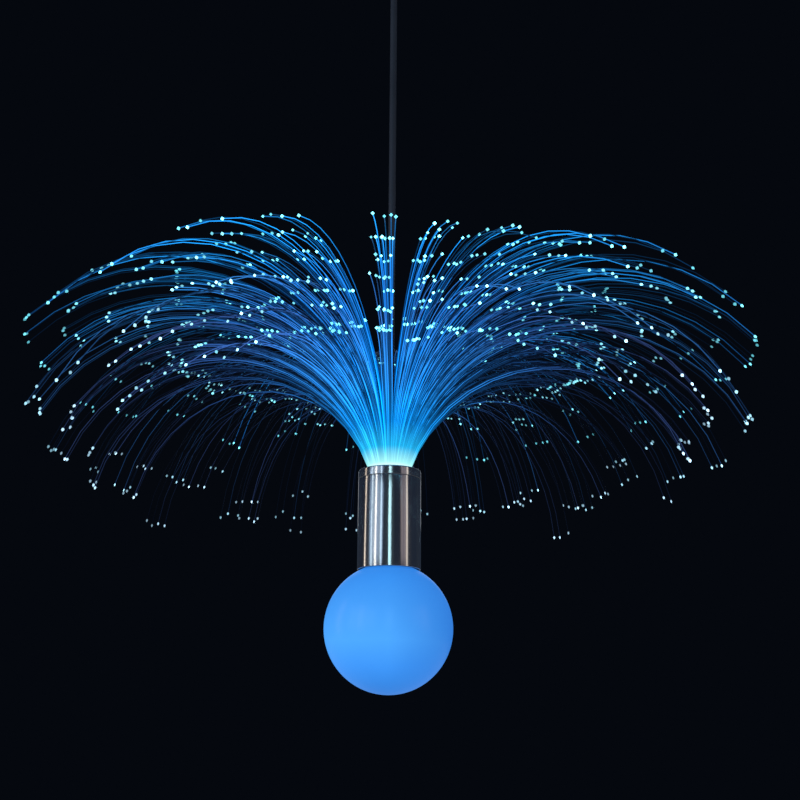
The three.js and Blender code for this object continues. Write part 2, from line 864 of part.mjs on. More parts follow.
function addCeilingPieces() {
  const group = subassembly(0);
  const nutTop = -ceilingPlateThickness - ceilingBossDepth - seatGap;
  add(group, 'hook_plate', makeHookPlate(), brushedSteel);
  add(group, 'ceiling_hook', makeHook(), plainSteel, hookCentreZ);
  add(group, 'hook_nut', makeHookNut(), plainSteel, nutTop - hookNutHeight);
  const blockTop = -ceilingPlateThickness - seatGap;
  const block = add(group, 'terminal_block', makeTerminalBlock(), palePlastic, blockTop);
  block.position.x = -terminalOffset;
}

function addHangRing() {
  const ring = wireRing(ringRadius, ringWire).rotateY(Math.PI / 2);
  add(subassembly(ringCentreZ), 'hang_ring', ring, plainSteel);
}

function addCordPieces() {
  const grip = subassembly(gripBottomZ);
  add(grip, 'cord_grip', makeGrip(), brass);
  gripScrewHeights().forEach((height, i) => {
    add(grip, `grip_screw_${i + 1}`, makeSetScrew(gripScrewRadius, gripRadius), plainSteel, height);
  });
  add(subassembly(cordBottomZ), 'cord', makeCord(), cordJacket);
}

function addCup() {
  const group = subassembly(cupRimZ);
  const underside = -cupDepth - seatGap;
  add(group, 'ceiling_cup', makeCeilingCup(), brushedSteel);
  add(group, 'cup_bush', makeCupBush(), blackPlastic, underside);
  add(group, 'cup_bush_nut', makeCupNut(), blackPlastic, -cupDepth + cupWall + seatGap);
  const screw = makeSetScrew(cupScrewRadius, cupBushRadius);
  add(group, 'cup_set_screw', screw, plainSteel, underside - cupBushLength / 2);
}

function addFibreHead() {
  const group = subassembly(0);
  add(group, 'strain_relief', makeStrainRelief(), darkRubber, reliefZ);
  add(group, 'gland_nut', makeGlandNut(), blackPlastic, glandZ);
  add(group, 'stem_tube', makeStemTube(), brass);
  add(group, 'stem_nut', makeStemNut(), brass, sinkTopZ - sinkThickness - seatGap - stemNutHeight);
  const firstTurn = THREE.MathUtils.degToRad(bundleTurnAngle);
  around(bundleCount, (angle, i) => {
    const turn = firstTurn + angle;
    add(group, `fibre_bundle_${i + 1}`, makeFibreBundle(turn), litFibre, fibreFaceZ, turn);
  });
  add(group, 'ferrule', makeFerrule(), plainSteel);
}

function addHousing() {
  const group = subassembly(0);
  add(group, 'top_cap', makeTopCap(), brushedSteel);
  add(group, 'housing_tube', makeHousingTube(), brushedSteel);
  add(group, 'heat_sink', makeHeatSink(), castAluminium);
  const boardZ = sinkTopZ + seatGap;
  add(group, 'led_board', makeLedBoard(), boardLacquer, boardZ);
  const led = makeLed();
  const ledZ = boardZ + ledBoardThickness + seatGap;
  around(ledCount, (angle, i) => add(group, `led_${i + 1}`, atAngle(led, ledRing, angle), ledLens, ledZ));
}

function addDriver() {
  const group = subassembly(0);
  const lowerPlateTop = globeCentreZ + plateUnderside() + plateThickness;
  const upperZ = sinkTopZ - sinkThickness - seatGap - upperPillarLength;
  const boardZ = upperZ - seatGap - driverBoardThickness;
  const lowerZ = lowerPlateTop + seatGap;
  const lowerPillarLength = boardZ - seatGap - lowerZ;
  const upperPillar = makeUpperPillar();
  const lowerPillar = cut(makeLowerPillar(lowerPillarLength), [
    rod(pillarStudRadius + seatGap, -cutOverrun, pillarStudLength + seatGap, hexSides),
  ]);
  const shank = seatGap + plateThickness + pillarStudLength;
  const screw = makePlateScrew(shank);
  around(pillarCount, (angle, i) => {
    add(group, `upper_pillar_${i + 1}`, atAngle(upperPillar, pillarRing, angle), brass, upperZ);
    add(group, `lower_pillar_${i + 1}`, atAngle(lowerPillar, pillarRing, angle), brass, lowerZ);
    const head = lowerPlateTop - plateThickness - seatGap;
    add(group, `plate_screw_${i + 1}`, atAngle(screw, pillarRing, angle), plainSteel, head);
  });
  add(group, 'driver_board', makeDriverBoard(), greenBoard, boardZ);
  const hang = boardZ - seatGap;
  const transformer = add(group, 'transformer', makeTransformer(), windingTape, hang);
  transformer.position.x = -transformerWidth / 4;
  transformer.rotation.z = Math.PI / 2;
  const capacitor = add(group, 'capacitor', makeCapacitor(), blackPlastic, hang);
  capacitor.position.x = transformerWidth / 2 + capacitorRadius;
}

function addGlobe() {
  const group = subassembly(globeCentreZ);
  const plateLow = plateUnderside();
  add(group, 'lower_plate', makeLowerPlate(), castAluminium);
  add(group, 'globe_led_board', makeGlobeBoard(), boardLacquer, plateLow - seatGap);
  add(group, 'globe_led', makeGlobeLed(), ledLens, plateLow - 2 * seatGap - ledBoardThickness);
  add(group, 'globe_seal', makeGlobeSeal(), darkRubber);
  add(group, 'globe_collar', makeGlobeCollar(), palePlastic);
  add(group, 'globe', makeGlobe(), milkGlobe);
}

addCeilingPieces();
addHangRing();
addCordPieces();
addCup();
addFibreHead();
addHousing();
addDriver();
addGlobe();

export default lamp;
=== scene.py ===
import json
import math

import bmesh
import bpy
from mathutils import Matrix, Vector


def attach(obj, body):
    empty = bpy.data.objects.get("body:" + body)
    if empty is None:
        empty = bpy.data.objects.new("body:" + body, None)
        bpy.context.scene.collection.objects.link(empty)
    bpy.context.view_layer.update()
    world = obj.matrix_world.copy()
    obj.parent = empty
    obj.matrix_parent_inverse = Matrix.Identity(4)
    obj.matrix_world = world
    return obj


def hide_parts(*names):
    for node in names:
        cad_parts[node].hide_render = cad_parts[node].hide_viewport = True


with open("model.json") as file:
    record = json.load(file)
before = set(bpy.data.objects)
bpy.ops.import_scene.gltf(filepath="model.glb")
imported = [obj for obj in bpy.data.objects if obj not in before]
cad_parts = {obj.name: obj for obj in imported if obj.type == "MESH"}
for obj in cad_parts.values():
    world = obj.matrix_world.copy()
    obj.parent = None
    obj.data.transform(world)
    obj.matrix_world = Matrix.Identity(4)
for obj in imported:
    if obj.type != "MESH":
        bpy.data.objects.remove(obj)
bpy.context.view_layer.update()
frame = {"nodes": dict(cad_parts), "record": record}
scene = bpy.context.scene
scene.view_settings.view_transform = "Standard"

# Heights along the lamp's axis, in metres from the ceiling
heights = {
    "globeCentre": -0.770,
    "housingBottom": -0.716,
    "mouth": -0.621,
    "fibreFace": -0.6201,
    "glandNut": -0.6192,
    "relief": -0.6099,
    "cordBottom": -0.5776,
    "cordTop": -0.0474,
    "gripBottom": -0.0564,
    "cupRim": -0.009,
}

# Sizes that more than one piece follows, in metres
shared = {
    "gap": 0.0003,  # between pieces that seat on each other
    "overrun": 0.002,  # how far a cutter runs past what it cuts
    "globeRadius": 0.060,
    "bundleRadius": 0.0199,
    "ferruleWall": 0.0012,
    "stemBore": 0.0053,
    "hookWire": 0.0015,
    "ringWire": 0.00125,
    "cordBore": 0.0038,
    "screwHole": 0.0018,
    "screwHoleStart": 0.0035,
}


# Small helpers

def linked(name, data):
    item = bpy.data.objects.new(name, data)
    scene.collection.objects.link(item)
    return item


def meshOf(shape, name):
    mesh = bpy.data.meshes.new(name)
    shape.to_mesh(mesh)
    shape.free()
    return mesh


# The mesh of an object with its modifiers or curve worked out; the object goes
def finishedMesh(item):
    graph = bpy.context.evaluated_depsgraph_get()
    mesh = bpy.data.meshes.new_from_object(item.evaluated_get(graph))
    bpy.data.objects.remove(item)
    return mesh


def turnBy(degrees, axis="Z"):
    return Matrix.Rotation(math.radians(degrees), 4, axis)


def lerp(start, end, share):
    return start + (end - start) * share


# Camera: looks up at the lamp from below, as the photograph does
cameraSet = {
    "place": (0, -1.1, -0.875),
    "pitch": 106.5,
    "roll": 0.5,
    "lens": 52.65,
    "sensor": 36,
    "shift": 0.012,
    "near": 0.01,
    "far": 100,
}


def makeCamera():
    data = bpy.data.cameras.new("camera")
    data.sensor_width = cameraSet["sensor"]
    data.lens = cameraSet["lens"]
    data.shift_x = cameraSet["shift"]
    data.clip_start, data.clip_end = cameraSet["near"], cameraSet["far"]
    camera = linked("camera", data)
    turn = turnBy(cameraSet["pitch"], "X") @ turnBy(cameraSet["roll"])
    camera.matrix_world = Matrix.Translation(cameraSet["place"]) @ turn
    scene.camera = camera


# Node maths: a wire wraps a socket, so that sums on wires add their Math nodes

class Wire:
    def __init__(self, tree, socket=None):
        self.tree, self.socket = tree, socket

    def node(self, kind, settings=None, inputs=None, out=0):
        made = self.tree.nodes.new(kind)
        for key, value in (settings or {}).items():
            if key == "stops":
                fillRamp(made.color_ramp, value)
            else:
                setattr(made, key, value)
        for key, value in (inputs or {}).items():
            if isinstance(value, Wire):
                self.tree.links.new(value.socket, made.inputs[key])
            else:
                made.inputs[key].default_value = value
        return Wire(self.tree, made.outputs[out])

    def maths(self, operation, *values):
        return self.node("ShaderNodeMath", {"operation": operation}, dict(enumerate(values)))

    def atMost(self, limit):
        return self.maths("MINIMUM", self, limit)

    def atLeast(self, limit):
        return self.maths("MAXIMUM", self, limit)

    def __add__(self, other):
        return self.maths("ADD", self, other)

    def __sub__(self, other):
        return self.maths("SUBTRACT", self, other)

    def __rsub__(self, other):
        return self.maths("SUBTRACT", other, self)

    def __mul__(self, other):
        return self.maths("MULTIPLY", self, other)

    def __truediv__(self, other):
        return self.maths("DIVIDE", self, other)

    def __pow__(self, other):
        return self.maths("POWER", self, other)

    __radd__, __rmul__ = __add__, __mul__


# Stops are (place, colour), or (place, (grey,))
def fillRamp(ramp, stops):
    while len(ramp.elements) > 1:
        ramp.elements.remove(ramp.elements[-1])
    for i, (place, colour) in enumerate(stops):
        stop = ramp.elements[0] if i == 0 else ramp.elements.new(place)
        stop.position = place
        stop.color = (*colour, 1) if len(colour) == 3 else colour * 3 + (1,)


def blend(factor, first, second):
    inputs = {0: factor, 6: first, 7: second}
    for key in (6, 7):
        if isinstance(inputs[key], tuple):
            inputs[key] = (*inputs[key], 1)
    return factor.node("ShaderNodeMix", {"data_type": "RGBA"}, inputs, out=2)


def startMaterial(name):
    material = bpy.data.materials.new(name)
    material.use_nodes = True
    tree = material.node_tree
    shader = next(n for n in tree.nodes if n.type == "BSDF_PRINCIPLED")
    return material, Wire(tree), shader


def setSockets(wire, shader, values):
    for key, value in values.items():
        if isinstance(value, Wire):
            wire.tree.links.new(value.socket, shader.inputs[key])
        elif isinstance(value, tuple):
            shader.inputs[key].default_value = (*value, 1)
        else:
            shader.inputs[key].default_value = value


def objectPoint(wire):
    return wire.node("ShaderNodeTexCoord", out=3)


def attributeOf(wire, name):
    return wire.node("ShaderNodeAttribute", {"attribute_name": name}, out=2)


def noiseOn(point, scale, detail=3, stretch=(1, 1, 1)):
    placed = point.node("ShaderNodeMapping", inputs={0: point, 3: stretch})
    return point.node("ShaderNodeTexNoise", inputs={
        "Vector": placed, "Scale": scale, "Detail": detail})


def bumpOf(height, strength, distance):
    return height.node("ShaderNodeBump", inputs={
        "Strength": strength, "Distance": distance, "Height": height})


def rampOf(value, stops):
    return value.node("ShaderNodeValToRGB", {"stops": stops}, {0: value})


def scaled(colour, factor):
    return factor.node("ShaderNodeVectorMath", {"operation": "SCALE"}, {0: colour, 3: factor})


# Studio: a dim room, tall softboxes that streak the steel, and a pale floor far below
lightSet = {
    "ambient": (0.30, 0.31, 0.33),
    "backdrop": (0.0015, 0.0024, 0.0044),
    "sheen": (0.024, 0.034, 0.056),
    "seenBy": {"Is Glossy Ray": "sheen", "Is Transmission Ray": "backdrop", "Is Camera Ray": "backdrop"},
    "aimHeight": -0.6,
    # azimuth from the camera's side, distance, height, width, tall, power, colour
    "strips": (
        (-97, 2.2, -0.25, 0.15, 1.5, 2.6, (1.0, 0.84, 0.68)),
        (-68, 2.3, -0.25, 0.12, 1.5, 1.5, (0.66, 0.84, 1.0)),
        (-50, 2.3, -0.25, 0.14, 1.6, 3.2, (1.0, 0.98, 0.92)),
        (-29, 2.4, -0.25, 0.12, 1.5, 1.5, (0.66, 0.86, 1.0)),
        (2, 2.4, -0.25, 0.17, 1.5, 3.4, (0.56, 0.94, 1.0)),
        (68, 2.2, -0.25, 0.26, 1.4, 1.4, (1.0, 0.90, 0.74)),
        (-50, 3.0, 0.0, 3.0, 1.6, 10, (0.50, 0.72, 1.0)),
        (56, 3.0, 0.0, 1.5, 1.6, 2.4, (1.0, 0.84, 0.84)),
        (180, 2.6, 0.5, 1.8, 1.4, 3, (0.9, 0.95, 1.0)),
    ),
}
floorSet = {"height": -2.2, "radius": 12, "sides": 128, "colour": (0.62, 0.62, 0.61), "roughness": 0.9}


def makeWorld():
    world = bpy.data.worlds.new("studio")
    scene.world = world
    world.use_nodes = True
    tree = world.node_tree
    tree.nodes.clear()
    wire = Wire(tree)
    path = tree.nodes.new("ShaderNodeLightPath")
    mixed = wire.node("ShaderNodeBackground", inputs={0: (*lightSet["ambient"], 1)})
    for ray, tint in lightSet["seenBy"].items():
        seen = Wire(tree, path.outputs[ray])
        shown = wire.node("ShaderNodeBackground", inputs={0: (*lightSet[tint], 1)})
        mixed = wire.node("ShaderNodeMixShader", inputs={0: seen, 1: mixed, 2: shown})
    out = tree.nodes.new("ShaderNodeOutputWorld")
    tree.links.new(mixed.socket, out.inputs[0])


def makeLights():
    for i, (azimuth, far, height, width, tall, power, colour) in enumerate(lightSet["strips"]):
        data = bpy.data.lights.new(f"strip_{i + 1}", "AREA")
        data.shape = "RECTANGLE"
        data.size, data.size_y = width, tall
        data.energy, data.color = power, colour
        turn = math.radians(azimuth)
        spot = Vector((math.sin(turn) * far, -math.cos(turn) * far, height))
        aim = Vector((0, 0, lightSet["aimHeight"])) - spot
        lamp = linked(data.name, data)
        lamp.location = spot
        lamp.rotation_euler = aim.to_track_quat("-Z", "Y").to_euler()
        lamp.visible_camera = False


def makeFloor():
    shape = bmesh.new()
    bmesh.ops.create_circle(
        shape, cap_ends=True, segments=floorSet["sides"], radius=floorSet["radius"])
    shape.transform(Matrix.Translation((0, 0, floorSet["height"])))
    mesh = meshOf(shape, "floor")
    floor = linked("floor", mesh)
    material, wire, shader = startMaterial("paleFloor")
    setSockets(wire, shader, {"Base Color": floorSet["colour"], "Roughness": floorSet["roughness"]})
    mesh.materials.append(material)


makeCamera()
makeWorld()
makeLights()
makeFloor()
print("camera, light and floor ready")


# Materials. A grain is (scale, detail, stretch), a bump is (strength, distance)

steelSet = {
    "fineGrain": (260, 2, (1, 1, 0.012)),
    "broadGrain": (42, 2, (1, 1, 0.01)),
    "fineShare": 0.55,
    "broadShare": 0.45,
    # streak tones: partly the brushed grain's own, partly painted warm and cool reflection bands
    "grainAndReflectionTints": ((0.30, (0.30, 0.31, 0.35)), (0.48, (0.52, 0.52, 0.54)),
              (0.56, (0.60, 0.57, 0.53)), (0.72, (0.74, 0.75, 0.78))),
    "roughness": 0.10,
    "streakRoughness": 0.10,
    "bump": (0.5, 0.0003),
}


def brushedSteel():
    material, wire, shader = startMaterial("brushedSteel")
    point = objectPoint(wire)
    fine = noiseOn(point, *steelSet["fineGrain"])
    broad = noiseOn(point, *steelSet["broadGrain"])
    streak = fine * steelSet["fineShare"] + broad * steelSet["broadShare"]
    setSockets(wire, shader, {
        # partly painted reflection: warm and cool streak tints besides the grain's own tone
        "Base Color": rampOf(streak, steelSet["grainAndReflectionTints"]),
        "Metallic": 1.0,
        "Roughness": steelSet["roughness"] + streak * steelSet["streakRoughness"],
        "Normal": bumpOf(streak, *steelSet["bump"]),
    })
    return material


metalSet = {
    "cloudDetail": 5,
    "cloudStops": ((0.35, (0,)), (0.7, (1,))),
    "dullShare": 0.72,
    "spotsPerCloud": 7,
    "spotDetail": 2,
    "spotRoughness": 0.18,
    "bump": (0.12, 0.0001),
}


def metalOf(name, colour, roughness, grain):
    material, wire, shader = startMaterial(name)
    point = objectPoint(wire)
    cloud = noiseOn(point, grain, metalSet["cloudDetail"])
    spots = noiseOn(point, grain * metalSet["spotsPerCloud"], metalSet["spotDetail"])
    dull = tuple(c * metalSet["dullShare"] for c in colour)
    setSockets(wire, shader, {
        "Base Color": blend(rampOf(cloud, metalSet["cloudStops"]), dull, colour),
        "Metallic": 1.0,
        "Roughness": roughness + spots * metalSet["spotRoughness"],
        "Normal": bumpOf(spots, *metalSet["bump"]),
    })
    return material


plasticSet = {
    "cloudShare": 0.2,  # scale of the clouds against that of the pebbles
    "wornGain": 1.25,
    "wornLift": 0.01,
    "pebbleRoughness": 0.15,
    "bumpDistance": 0.0002,
}


def plasticOf(name, colour, roughness, grain, strength=0.1):
    material, wire, shader = startMaterial(name)
    point = objectPoint(wire)
    cloud = noiseOn(point, grain * plasticSet["cloudShare"])
    pebble = noiseOn(point, grain)
    worn = tuple(min(1, c * plasticSet["wornGain"] + plasticSet["wornLift"]) for c in colour)
    setSockets(wire, shader, {
        "Base Color": blend(cloud, colour, worn),
        "Roughness": roughness + pebble * plasticSet["pebbleRoughness"],
        "Normal": bumpOf(pebble, strength, plasticSet["bumpDistance"]),
    })
    return material


jacketSet = {
    "pebbles": (900, 3, (1, 1, 0.3)),
    "marks": (60, 3, (1, 1, 0.2)),
    "dark": (0.012, 0.018, 0.034),
    "light": (0.028, 0.038, 0.062),
    "roughness": 0.42,
    "markRoughness": 0.2,
    "bump": (0.15, 0.0002),
}


def cordJacket():
    material, wire, shader = startMaterial("cordJacket")
    point = objectPoint(wire)
    pebble = noiseOn(point, *jacketSet["pebbles"])
    marks = noiseOn(point, *jacketSet["marks"])
    setSockets(wire, shader, {
        "Base Color": blend(marks, jacketSet["dark"], jacketSet["light"]),
        "Roughness": jacketSet["roughness"] + marks * jacketSet["markRoughness"],
        "Normal": bumpOf(pebble, *jacketSet["bump"]),
    })
    return material


milkSet = {
    # glow from the globe's foot to its top, and on its right side
    "glow": ((0.0, (0.016, 0.17, 0.62)), (0.20, (0.034, 0.25, 0.82)),
             (0.38, (0.060, 0.33, 0.88)), (0.9, (0.026, 0.20, 0.68))),
    "sideGlow": (0.020, 0.16, 0.60),
    "cloudScale": 16,
    "cloudMiddle": 0.5,
    "cloudGlow": 0.12,
    "dark": (0.028, 0.15, 0.34),
    "light": (0.038, 0.18, 0.38),
    "roughness": 0.3,
    "specular": 0.3,
}


def milkGlobe():
    material, wire, shader = startMaterial("milkGlobe")
    point = objectPoint(wire)
    radius = shared["globeRadius"]
    across = wire.node("ShaderNodeSeparateXYZ", inputs={0: point})
    height = wire.node("ShaderNodeSeparateXYZ", inputs={0: point}, out=2)
    rise = (height - (heights["globeCentre"] - radius)) / (2 * radius)
    aside = (across / radius).atLeast(0.0)
    cloud = noiseOn(point, milkSet["cloudScale"])
    glow = rampOf(rise + (cloud - milkSet["cloudMiddle"]) * milkSet["cloudGlow"], milkSet["glow"])
    setSockets(wire, shader, {
        "Base Color": blend(cloud, milkSet["dark"], milkSet["light"]),
        "Roughness": milkSet["roughness"],
        "Specular IOR Level": milkSet["specular"],
        "Emission Color": blend(aside, glow, milkSet["sideGlow"]),
        "Emission Strength": 1.0,
    })
    return material


# Each fibre point carries its run from the mouth, its own tone, its reach (0 inner, 1 outer), whether it
# is in the tip, how much it faces the front (for painted glow on front fibres), and how much it is on
# the brighter side
fibreGlow = {
    "rampRun": 0.45,  # run that the two ramps span
    "inner": ((0.0, (1.0, 1.2, 1.1)), (0.012, (0.60, 1.15, 1.1)), (0.036, (0.04, 0.72, 1.1)),
              (0.075, (0.0, 0.31, 0.98)), (0.16, (0.0, 0.19, 0.72)), (0.30, (0.001, 0.070, 0.27)),
              (0.47, (0.002, 0.076, 0.27)), (0.64, (0.004, 0.150, 0.43)), (1.0, (0.004, 0.050, 0.17))),
    "outer": ((0.0, (1.0, 1.2, 1.1)), (0.012, (0.40, 1.0, 1.0)), (0.045, (0.02, 0.50, 0.95)),
              (0.10, (0.004, 0.23, 0.70)), (0.20, (0.010, 0.13, 0.42)), (0.40, (0.011, 0.046, 0.165)),
              (0.62, (0.009, 0.018, 0.060)), (1.0, (0.006, 0.009, 0.026))),
    "outwardGain": 1.6,
    "toneLow": 0.08,
    "toneGain": 3.2,
    "paintedFrontRun": 0.08,  # run in which the painted extra glow doubles a front fibre's glow
    "brightest": 3.8,
    "sideLow": 0.44,
    "sideGain": 0.76,
    "evenRun": 0.07,  # run from the mouth in which the fibres part from an even glow
    "paleStart": 0.20,
    "paleRun": 0.15,
    "tip": (0.18, 0.85, 1.02),
    "paleTip": (0.46, 0.74, 0.95),
    "tipLow": 0.60,
    "tipGain": 2.6,
    "tipSide": 0.8,
    "paintedFrontTip": 1.2,
    "dark": (0.002, 0.005, 0.014),
    "light": (0.006, 0.013, 0.032),
    "roughness": 0.4,
    "specular": 0.045,
}


def litFibre():
    material, wire, shader = startMaterial("litFibre")
    s = fibreGlow
    run, tone, reach, tip, front, lit = (
        attributeOf(wire, name) for name in ("run", "tone", "reach", "tip", "front", "lit"))
    inner = rampOf(run / s["rampRun"], s["inner"])
    outer = rampOf(run / s["rampRun"], s["outer"])
    outward = (reach * s["outwardGain"]).atMost(1.0)
    # painted glow: fibres that face the front are made brighter along their run
    lively = (s["toneLow"] + tone * tone * tone * s["toneGain"]) * (1 + front * run / s["paintedFrontRun"])
    lively = lively.atMost(s["brightest"]) * (s["sideLow"] + lit * lit * s["sideGain"])
    lively = lerp(1.0, lively, (run / s["evenRun"]).atMost(1.0))
    body = scaled(blend(outward, inner, outer), lively)
    pale = outward * ((run - s["paleStart"]) / s["paleRun"]).atLeast(0.0).atMost(1.0)
    # painted glint: the tips of fibres that face the front sparkle brighter
    sparkle = (s["tipLow"] + tone * tone * s["tipGain"]) * (s["tipSide"] + front * s["paintedFrontTip"])
    spark = scaled(blend(pale, s["tip"], s["paleTip"]), sparkle)
    setSockets(wire, shader, {
        "Base Color": blend(tone, s["dark"], s["light"]),
        "Roughness": s["roughness"],
        "Specular IOR Level": s["specular"],
        "Emission Color": blend(tip, body, spark),
        "Emission Strength": 1.0,
    })
    return material


lensSet = {
    "grain": (500, 2),
    "phosphor": ((0.86, 0.84, 0.58), (0.93, 0.92, 0.74)),
    "glow": ((0.3, 0.6, 1.0), (0.5, 0.8, 1.0)),
    "roughness": 0.2,
    "strength": 1.5,
}


def ledLens():
    material, wire, shader = startMaterial("ledLens")
    grain = noiseOn(objectPoint(wire), *lensSet["grain"])
    setSockets(wire, shader, {
        "Base Color": blend(grain, *lensSet["phosphor"]),
        "Roughness": lensSet["roughness"],
        "Emission Color": blend(grain, *lensSet["glow"]),
        "Emission Strength": lensSet["strength"],
    })
    return material


# One finish for each material slot of the lamp: colour, roughness, scale of the grain, its bump
finish = {
    "brushed_steel": brushedSteel(),
    "plain_steel": metalOf("plainSteel", (0.50, 0.51, 0.53), 0.26, 90),
    "brass": metalOf("turnedBrass", (0.72, 0.54, 0.27), 0.24, 80),
    "cast_aluminium": metalOf("castAluminium", (0.62, 0.63, 0.65), 0.42, 160),
    "seal_rubber": plasticOf("sealRubber", (0.022, 0.022, 0.026), 0.55, 900, 0.2),
    "cord_jacket": cordJacket(),
    "lit_fibre": litFibre(),
    "milk_globe": milkGlobe(),
    "board_lacquer": plasticOf("boardLacquer", (0.80, 0.82, 0.78), 0.35, 700),
    "green_board": plasticOf("greenBoard", (0.02, 0.13, 0.055), 0.3, 700),
    "led_lens": ledLens(),
    "pale_plastic": plasticOf("palePlastic", (0.74, 0.73, 0.68), 0.4, 900),
    "black_plastic": plasticOf("blackPlastic", (0.018, 0.018, 0.020), 0.38, 1100, 0.2),
    "winding_tape": plasticOf("windingTape", (0.66, 0.45, 0.05), 0.35, 400),
}
for part in frame["record"]["subparts"]:
    node = frame["nodes"][part["node"]]
    node.data.materials.clear()
    node.data.materials.append(finish[part["material_slot"]])
print("materials ready:", len(finish))


# Shapes that several pieces are made with

axisRadius = 1e-6  # a point of a profile nearer to the axis than this is on it
easeLimit = 0.4  # share of a profile's side that the rounding of one corner may take
sliver = 2e-6  # corners of a cut mesh that are nearer than this are merged


def place(mesh, name, slot, body, *nodes, smooth=32):
    piece = linked(name, mesh)
    if not mesh.materials:
        mesh.materials.append(finish[slot])
    if smooth:
        mesh.polygons.foreach_set("use_smooth", [True] * len(mesh.polygons))
        mesh.set_sharp_from_angle(angle=math.radians(smooth))
    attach(piece, body)
    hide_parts(*nodes)
    return piece


# Turns a closed profile of (radius, height) points about the lamp's axis
def turned(profile, sides, lift=0.0):
    shape = bmesh.new()
    rings = []
    for radius, height in profile:
        if radius < axisRadius:
            rings.append([shape.verts.new((0, 0, height + lift))])
            continue
        rings.append([shape.verts.new((
            radius * math.cos(2 * math.pi * k / sides),
            radius * math.sin(2 * math.pi * k / sides), height + lift)) for k in range(sides)])
    onAxis = len(rings[0]) == 1 and len(rings[-1]) == 1
    pairs = list(zip(rings, rings[1:])) + ([] if onAxis else [(rings[-1], rings[0])])
    for low, high in pairs:
        for k in range(sides):
            after = (k + 1) % sides
            corners = [low[k % len(low)], low[after % len(low)]]
            corners += [high[after % len(high)], high[k % len(high)]]
            corners = list(dict.fromkeys(corners))
            if len(corners) > 2:
                shape.faces.new(corners)
    bmesh.ops.recalc_face_normals(shape, faces=shape.faces)
    return meshOf(shape, "turned")


# Points of a part round in a profile, about (radius, height), angles in degrees
def corner(radius, height, bend, start, end, steps):
    points = []
    for i in range(steps + 1):
        angle = math.radians(lerp(start, end, i / steps))
        points.append((radius + bend * math.cos(angle), height + bend * math.sin(angle)))
    return points


# A closed profile with each of its corners rounded off, except those on the axis
def eased(profile, edge, steps=3):
    spots = [Vector(p) for p in profile]
    points = []
    for i, spot in enumerate(spots):
        before, after = spots[i - 1] - spot, spots[(i + 1) % len(spots)] - spot
        if spot.x < axisRadius:
            points.append(tuple(spot))
            continue
        first = spot + before.normalized() * min(edge, before.length * easeLimit)
        last = spot + after.normalized() * min(edge, after.length * easeLimit)
        for k in range(steps + 1):
            share = k / steps
            points.append(tuple(lerp(lerp(first, spot, share), lerp(spot, last, share), share)))
    return points


# A round rod between two points
def rodBetween(radius, start, end, sides=32):
    shape = bmesh.new()
    start, end = Vector(start), Vector(end)
    along = end - start
    turn = along.to_track_quat("Z", "Y").to_matrix().to_4x4()
    bmesh.ops.create_cone(shape, cap_ends=True, segments=sides, radius1=radius, radius2=radius,
                          depth=along.length, matrix=Matrix.Translation((start + end) / 2) @ turn)
    return meshOf(shape, "rod")


# Hole of a set screw, from the cord's bore out along +X
def screwHoleAt(height, end):
    return rodBetween(shared["screwHole"], (shared["screwHoleStart"], 0, height), (end, 0, height))


# A mesh with others cut from it or joined to it
def combined(mesh, others, operation="DIFFERENCE"):
    base = linked("base", mesh)
    helpers = []
    for other in others:
        helper = linked("helper", other)
        modifier = base.modifiers.new("combine", "BOOLEAN")
        modifier.operation, modifier.solver, modifier.object = operation, "EXACT", helper
        helpers.append(helper)
    made = finishedMesh(base)
    for helper in helpers:
        bpy.data.objects.remove(helper)
    # a cut leaves slivers, whose corners are merged
    shape = bmesh.new()
    shape.from_mesh(made)
    bmesh.ops.remove_doubles(shape, verts=shape.verts, dist=sliver)
    shape.to_mesh(made)
    shape.free()
    return made


def torusOf(radius, wire, steps=64, sides=20):
    shape = bmesh.new()
    rings = []
    for i in range(steps):
        turn = 2 * math.pi * i / steps
        ring = []
        for k in range(sides):
            angle = 2 * math.pi * k / sides
            far = radius + wire * math.cos(angle)
            spot = (far * math.cos(turn), far * math.sin(turn), wire * math.sin(angle))
            ring.append(shape.verts.new(spot))
        rings.append(ring)
    for low, high in zip(rings, rings[1:] + rings[:1]):
        for k in range(sides):
            after = (k + 1) % sides
            shape.faces.new((low[k], high[k], high[after], low[after]))
    bmesh.ops.recalc_face_normals(shape, faces=shape.faces)
    return meshOf(shape, "torus")


# Fibres: four quarters of the fountain, each grown by one node tree from its slice of the potted face.
# The first dictionary holds the tree's inputs
fibreSet = {
    "Fibres": 350,
    "Sheets": 14,
    "Quarter": 0,
    "Fibre radius": 0.00036,
    "Inner ring": 0.0085,
    "Outer ring": 0.0193,
    "Inner bend": 0.192,
    "Outer bend": 0.138,
    "Inner lean": 3.0,
    "Outer lean": 20.0,
    "Inner shortest": 0.150,
    "Outer shortest": 0.190,
    "Inner longest": 0.460,
    "Outer longest": 0.400,
    "Reach power": 2.0,
    "Tuft pull": 0.5,
    "Side margin": 0.0007,
    "Front cut": 0.31,
    "Front outer cut": 0.34,
    "Front bend": 0.09,
    "Front bead": 0.35,
    "Tip length": 0.0034,
    "Root depth": 0.0006,
}
tuftCount, tierCount, tierSkip = 7, 7, 3
fountainTurn = -11.5  # degrees, where the first quarter begins
litTurn = 0.45  # radians, from the front round to the brighter side
fibreSteps, tipSteps, fibreSides = 14, 3, 4
fibreQuarters, fibreSeed, quarterSeed, sheetKey = 4, 11, 20, 31
goldenShare = (math.sqrt(5) - 1) / 2
fibreChance = {  # lowest, highest, seed
    "length": (0.994, 1.004, 2),
    "lean": (-0.25, 0.25, 4),
    "bend": (0.993, 1.007, 6),
    "tone": (0.0, 1.0, 7),
    "bead": (1.7, 2.9, 8),
    "tuftTurn": (-0.06, 0.06, 215),
    "tuftLength": (-0.12, 0.19, 9),
    "tuftLean": (-0.6, 0.6, 3),
    "tuftBend": (0.97, 1.03, 5),
    "tuftTone": (0.68, 1.16, 10),
}


